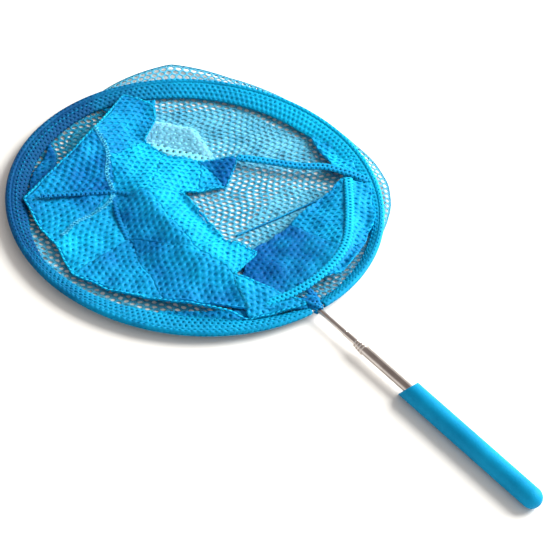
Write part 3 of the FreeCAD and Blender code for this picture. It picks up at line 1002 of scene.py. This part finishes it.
def net_cuts():
    """Each piece's flat width, length and thread area, from its outlines before it is laid."""
    below = (SECOND_THREAD, BACKING_THREAD)
    return {
        "bag_floor": (2 * BASE_R, 2 * BASE_R, math.pi * BASE_R ** 2 * thread_share()),
        "bag_lobe": lobe_cut(),
        "bag_loose_ply": tiles_cut(HAZE_TILES, HAZE, apart=True),
        "bag_folds": tiles_cut(PILE_TILES, PILE),
        "bag_folds_under": tiles_cut(PILE_TILES, PILE, below),
        "bag_right_folds": tiles_cut(RIGHT_TILES, RIGHT_PILE),
        "bag_right_under": tiles_cut(RIGHT_TILES, RIGHT_PILE, below),
        "bag_floor_folds": tiles_cut(FLOOR_TILES, FLOOR_FOLDS, (None, *below), apart=True),
        "bag_fold_edges": edges_cut(),
        "hem_mesh": hem_cut(),
    }


def build_net():
    mesh_blue = knit_material("net_mesh", (0.0, 0.095, 0.31), (0.002, 0.38, 0.69))
    # Lit copy of the same fabric: painted lighter, against the shade of the lower plies
    backing_painted_lighter = knit_material("net_mesh_backing", (0.0, 0.14, 0.46), (0.001, 0.42, 0.82), 0.6, glow=0.1)
    # Lit copy of the same fabric: paler and greyer, painted light of a single ply over the floor
    single_ply_painted_light = knit_material("net_mesh_single", (0.01, 0.19, 0.33), (0.12, 0.42, 0.60))
    # Lit copy of the same fabric: paler still, painted light of the loose plies
    loose_ply_painted_light = knit_material("net_mesh_pale", (0.08, 0.28, 0.42), (0.18, 0.64, 0.92))
    # Shaded copy of the same fabric: darker, painted shade of the hem
    hem_painted_darker = knit_material("hem_mesh", (0.0, 0.055, 0.17), (0.001, 0.40, 0.72), 0.55)
    thread_blue = knit_material("seam_thread", (0.02, 0.38, 0.66), (0.12, 0.66, 0.90), 0.45, glow=0.1)
    pile = Pile(PILE_TILES, PILE)
    right = Pile(RIGHT_TILES, RIGHT_PILE)
    floor = Pile(FLOOR_TILES, FLOOR_FOLDS)
    haze = Pile(HAZE_TILES, HAZE)
    top, under = pile.plies()
    right_top, right_under = right.plies()
    haze_ply = joined([tile_ply(HAZE, tile, haze.tone, haze.heights.at) for tile in HAZE_TILES.values()])
    base = mesh_object("bag_floor", make_base(haze), single_ply_painted_light)
    lobe = mesh_object("bag_lobe", make_lobe(), single_ply_painted_light)
    pieces = {
        "bag_floor": base,
        "bag_lobe": lobe,
        "bag_loose_ply": mesh_object("bag_loose_ply", haze_ply, loose_ply_painted_light, LOOSE_THICKNESS),
        "bag_folds": mesh_object("bag_folds", top, mesh_blue),
        "bag_folds_under": mesh_object("bag_folds_under", under, backing_painted_lighter),
        "bag_right_folds": mesh_object("bag_right_folds", right_top, mesh_blue),
        "bag_right_under": mesh_object("bag_right_under", right_under, backing_painted_lighter),
        "bag_floor_folds": mesh_object("bag_floor_folds", joined(floor.plies()), mesh_blue),
        "bag_fold_edges": mesh_object("bag_fold_edges", make_edges(pile), mesh_blue),
        "hem_mesh": make_hem(hem_painted_darker),
        "seam_thread": make_seam(pile, thread_blue),
        "hem_thread": make_hem_stitches(hem_painted_darker),
    }
    for piece in pieces.values():
        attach(piece, "head")
    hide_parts("net_bag")
    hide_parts("net_hem")
    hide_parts("side_seam")
    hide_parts("hem_stitch")
    for name, (width, length, area) in net_cuts().items():
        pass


# ---- floor, light and camera --------------------------------------------------------------------

WORLD_STRENGTH = 1.0
KEY_WATTS = 60.0


def make_stage():
    bpy.ops.mesh.primitive_plane_add(size=6.0, location=(0, 0, 0))
    floor = bpy.context.object
    floor.name = "floor"
    material, tree, shader = new_material("floor_card", (0.77, 0.765, 0.745), 0.7)
    color_noise(tree, shader, (0.76, 0.752, 0.732), (0.78, 0.772, 0.752), scale=6.0)
    floor.data.materials.append(material)


def add_area(name, location, size, energy, color):
    light = bpy.data.lights.new(name, "AREA")
    light.shape = "DISK"
    light.size = size
    light.energy = energy
    light.color = color
    lamp = bpy.data.objects.new(name, light)
    lamp.location = location
    lamp.rotation_euler = (-Vector(location)).to_track_quat("-Z", "Y").to_euler()
    bpy.context.collection.objects.link(lamp)


def make_world():
    """Bright room with one dim side, which the steel tubes mirror as a dark line."""
    world = bpy.data.worlds.new("studio")
    world.use_nodes = True
    tree = world.node_tree
    coords = add_node(tree, "ShaderNodeTexCoord")
    facing = add_node(tree, "ShaderNodeVectorMath", operation="DOT_PRODUCT")
    facing.inputs[1].default_value = Vector((-0.55, -0.22, 0.80)).normalized()
    ramp = add_node(tree, "ShaderNodeValToRGB")
    ramp.color_ramp.elements[0].position = 0.50
    ramp.color_ramp.elements[0].color = (1.0, 0.985, 0.955, 1)
    ramp.color_ramp.elements[1].position = 0.82
    ramp.color_ramp.elements[1].color = (0.34, 0.295, 0.28, 1)
    background = tree.nodes["Background"]
    background.inputs["Strength"].default_value = WORLD_STRENGTH
    tree.links.new(coords.outputs["Generated"], facing.inputs[0])
    tree.links.new(facing.outputs["Value"], ramp.inputs["Fac"])
    tree.links.new(ramp.outputs["Color"], background.inputs["Color"])
    bpy.context.scene.world = world


def make_lights():
    make_world()
    add_area("key", (0.3, 1.15, 0.8), 1.2, KEY_WATTS, (1.0, 0.985, 0.95))
    bpy.context.scene.view_settings.view_transform = "Standard"


def make_camera():
    data = bpy.data.cameras.new("camera")
    data.sensor_width = 36.0
    data.lens = 170.4
    data.clip_end = 20.0
    camera = bpy.data.objects.new("camera", data)
    right = Vector((0.6421, 0.7620, 0.0847))
    forward = Vector((-0.5155, 0.5108, -0.6880)).normalized()
    right = (right - forward * right.dot(forward)).normalized()
    up = right.cross(forward)
    turn = Matrix((right, up, -forward)).transposed().to_4x4()
    camera.matrix_world = Matrix.Translation((0.7072, -0.7160, 0.9673)) @ turn
    bpy.context.collection.objects.link(camera)
    bpy.context.scene.camera = camera


paint_nodes()
build_net()
make_stage()
make_lights()
make_camera()
